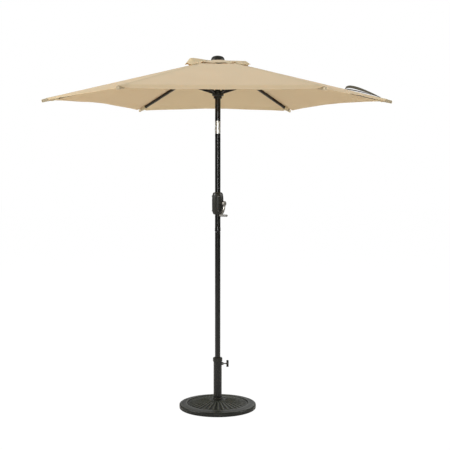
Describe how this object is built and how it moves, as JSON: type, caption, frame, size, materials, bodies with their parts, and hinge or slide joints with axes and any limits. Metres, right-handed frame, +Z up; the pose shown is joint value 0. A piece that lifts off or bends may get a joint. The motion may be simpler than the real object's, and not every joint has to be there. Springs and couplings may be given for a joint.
{
  "type": "patio umbrella with base",
  "caption": "Market umbrella with six folding ribs, a vented beige fabric canopy, crank lift, push-button tilt and a two-piece pole clamped in a round weighted base",
  "frame": {"origin": "centre of the base's underside, on the ground", "axes": "+Z up along the pole; +X along rib 1; the canopy is open and upright"},
  "size_m": [2.2888, 1.9866, 2.318],
  "materials": {
    "base_finish": "dark bronze-black textured coat on a cast composite base",
    "pole_finish": "dark bronze powder coat, satin",
    "frame_finish": "dark bronze powder coat",
    "dark_plastic": "moulded black-brown plastic",
    "tip_plastic": "pale grey moulded plastic",
    "bright_metal": "polished aluminium",
    "crank_metal": "plated die-cast metal",
    "grip_plastic": "grey moulded plastic",
    "hardware": "zinc plated steel",
    "canopy_fabric": "natural beige woven polyester",
    "strap_webbing": "dark olive strap",
    "lift_cord": "braided polyester cord"
  },
  "bodies": {
    "stand": {"base_disc": "base_finish", "stand_tube": "pole_finish", "tube_foot_ring": "dark_plastic", "tube_collar": "dark_plastic", "clamp_nut": "hardware", "anchor_hardware": "hardware"},
    "clamp": {"clamp_screw": "hardware", "clamp_knob": "dark_plastic"},
    "lower_pole": {"lower_pole": "pole_finish", "pole_foot_plug": "dark_plastic"},
    "mast": {"mast_tube": "pole_finish", "crank_housing_front": "dark_plastic", "crank_housing_rear": "dark_plastic", "housing_screws": "hardware", "tilt_knuckle_lower": "bright_metal", "tilt_pin": "crank_metal", "tilt_spring": "hardware", "lift_cord_lower": "lift_cord"},
    "crank": {"crank_shaft": "crank_metal", "cord_spool": "grip_plastic", "crank_arm": "crank_metal", "grip_rivet": "crank_metal"},
    "crank_grip": {"crank_grip": "grip_plastic"},
    "tilt_button": {"tilt_button": "bright_metal"},
    "head": {"tilt_knuckle_upper": "bright_metal", "upper_pole": "pole_finish", "top_hub": "dark_plastic", "hub_pins": "hardware", "finial": "dark_plastic", "vent_canopy": "canopy_fabric", "lift_cord_upper": "lift_cord"},
    "pulley": {"cord_pulley": "dark_plastic"},
    "runner": {"runner": "dark_plastic", "runner_pins": "hardware"},
    "rib_1": {"rib_1": "frame_finish", "tip_cap_1": "tip_plastic", "panel_1": "canopy_fabric", "tie_strap": "strap_webbing"},
    "strut_1": {"strut_1": "frame_finish"},
    "rib_2": {"rib_2": "frame_finish", "tip_cap_2": "tip_plastic", "panel_2": "canopy_fabric"},
    "strut_2": {"strut_2": "frame_finish"},
    "rib_3": {"rib_3": "frame_finish", "tip_cap_3": "tip_plastic", "panel_3": "canopy_fabric"},
    "strut_3": {"strut_3": "frame_finish"},
    "rib_4": {"rib_4": "frame_finish", "tip_cap_4": "tip_plastic", "panel_4": "canopy_fabric"},
    "strut_4": {"strut_4": "frame_finish"},
    "rib_5": {"rib_5": "frame_finish", "tip_cap_5": "tip_plastic", "panel_5": "canopy_fabric"},
    "strut_5": {"strut_5": "frame_finish"},
    "rib_6": {"rib_6": "frame_finish", "tip_cap_6": "tip_plastic", "panel_6": "canopy_fabric"},
    "strut_6": {"strut_6": "frame_finish"}
  },
  "joints": [
    {"name": "clamp_turn", "type": "hinge", "parent": "stand", "child": "clamp", "pos_m": [0.03, 0, 0.294], "axis": [1, 0, 0], "range_deg": [-540, 0]},
    {"name": "pole_swivel", "type": "hinge", "parent": "stand", "child": "lower_pole", "pos_m": [0, 0, 0.04], "axis": [0, 0, 1], "continuous": true},
    {"name": "pole_pull_apart", "type": "slide", "parent": "lower_pole", "child": "mast", "axis": [0, 0, 1], "range_m": [0, 0.11]},
    {"name": "canopy_tilt", "type": "hinge", "parent": "mast", "child": "head", "pos_m": [0, 0, 1.87], "axis": [-0.5, 0.866, 0], "range_deg": [0, 40]},
    {"name": "tilt_button_press", "type": "slide", "parent": "mast", "child": "tilt_button", "axis": [0.866, 0.5, 0], "range_m": [0, 0.0028], "stiffness_N_per_m": 600, "deforming": ["tilt_spring"]},
    {"name": "canopy_fold", "type": "hinge", "parent": "head", "child": "rib_1", "pos_m": [0.03, 0, 2.278], "axis": [0, -1, 0], "range_deg": [-68, 0], "deforming": ["panel_1", "panel_2", "panel_3", "panel_4", "panel_5", "panel_6"]},
    {"name": "strut_1_swing", "type": "hinge", "parent": "rib_1", "child": "strut_1", "pos_m": [0.34959, 0, 2.17753], "axis": [0, -1, 0], "range_deg": [-2, 138]},
    {"name": "rib_2_fold", "type": "hinge", "parent": "head", "child": "rib_2", "pos_m": [0.015, 0.02598, 2.278], "axis": [0.866, -0.5, 0], "range_deg": [-69, 1]},
    {"name": "strut_2_swing", "type": "hinge", "parent": "rib_2", "child": "strut_2", "pos_m": [0.1748, 0.30275, 2.17753], "axis": [0.866, -0.5, 0], "range_deg": [-2, 138]},
    {"name": "rib_3_fold", "type": "hinge", "parent": "head", "child": "rib_3", "pos_m": [-0.015, 0.02598, 2.278], "axis": [0.866, 0.5, 0], "range_deg": [-69, 1]},
    {"name": "strut_3_swing", "type": "hinge", "parent": "rib_3", "child": "strut_3", "pos_m": [-0.1748, 0.30275, 2.17753], "axis": [0.866, 0.5, 0], "range_deg": [-2, 138]},
    {"name": "rib_4_fold", "type": "hinge", "parent": "head", "child": "rib_4", "pos_m": [-0.03, 0, 2.278], "axis": [0, 1, 0], "range_deg": [-69, 1]},
    {"name": "strut_4_swing", "type": "hinge", "parent": "rib_4", "child": "strut_4", "pos_m": [-0.34959, 0, 2.17753], "axis": [0, 1, 0], "range_deg": [-2, 138]},
    {"name": "rib_5_fold", "type": "hinge", "parent": "head", "child": "rib_5", "pos_m": [-0.015, -0.02598, 2.278], "axis": [-0.866, 0.5, 0], "range_deg": [-69, 1]},
    {"name": "strut_5_swing", "type": "hinge", "parent": "rib_5", "child": "strut_5", "pos_m": [-0.1748, -0.30275, 2.17753], "axis": [-0.866, 0.5, 0], "range_deg": [-2, 138]},
    {"name": "rib_6_fold", "type": "hinge", "parent": "head", "child": "rib_6", "pos_m": [0.015, -0.02598, 2.278], "axis": [-0.866, -0.5, 0], "range_deg": [-69, 1]},
    {"name": "strut_6_swing", "type": "hinge", "parent": "rib_6", "child": "strut_6", "pos_m": [0.1748, -0.30275, 2.17753], "axis": [-0.866, -0.5, 0], "range_deg": [-2, 138]},
    {"name": "runner_level", "type": "hinge", "parent": "strut_1", "child": "runner", "pos_m": [0.03, 0, 2.07707], "axis": [0, -1, 0], "range_deg": [-69, 1]},
    {"name": "crank_turn", "type": "hinge", "parent": "mast", "child": "crank", "pos_m": [0.02457, -0.01721, 1.357], "axis": [0.8192, -0.5736, 0], "range_deg": [-3250, 10]},
    {"name": "grip_spin", "type": "hinge", "parent": "crank", "child": "crank_grip", "pos_m": [0.03915, -0.08357, 1.281], "axis": [0.8192, -0.5736, 0], "continuous": true},
    {"name": "pulley_turn", "type": "hinge", "parent": "head", "child": "pulley", "pos_m": [0, 0.012, 2.272], "axis": [1, 0, 0], "range_deg": [-10, 2890]}
  ],
  "couplings": [
    {"joint": "strut_1_swing", "follows": "canopy_fold", "ratio": -2},
    {"joint": "rib_2_fold", "follows": "canopy_fold", "ratio": 1},
    {"joint": "strut_2_swing", "follows": "canopy_fold", "ratio": -2},
    {"joint": "rib_3_fold", "follows": "canopy_fold", "ratio": 1},
    {"joint": "strut_3_swing", "follows": "canopy_fold", "ratio": -2},
    {"joint": "rib_4_fold", "follows": "canopy_fold", "ratio": 1},
    {"joint": "strut_4_swing", "follows": "canopy_fold", "ratio": -2},
    {"joint": "rib_5_fold", "follows": "canopy_fold", "ratio": 1},
    {"joint": "strut_5_swing", "follows": "canopy_fold", "ratio": -2},
    {"joint": "rib_6_fold", "follows": "canopy_fold", "ratio": 1},
    {"joint": "strut_6_swing", "follows": "canopy_fold", "ratio": -2},
    {"joint": "runner_level", "follows": "canopy_fold", "ratio": 1},
    {"joint": "crank_turn", "follows": "canopy_fold", "ratio": 47.647},
    {"joint": "pulley_turn", "follows": "canopy_fold", "ratio": -42.353}
  ]
}
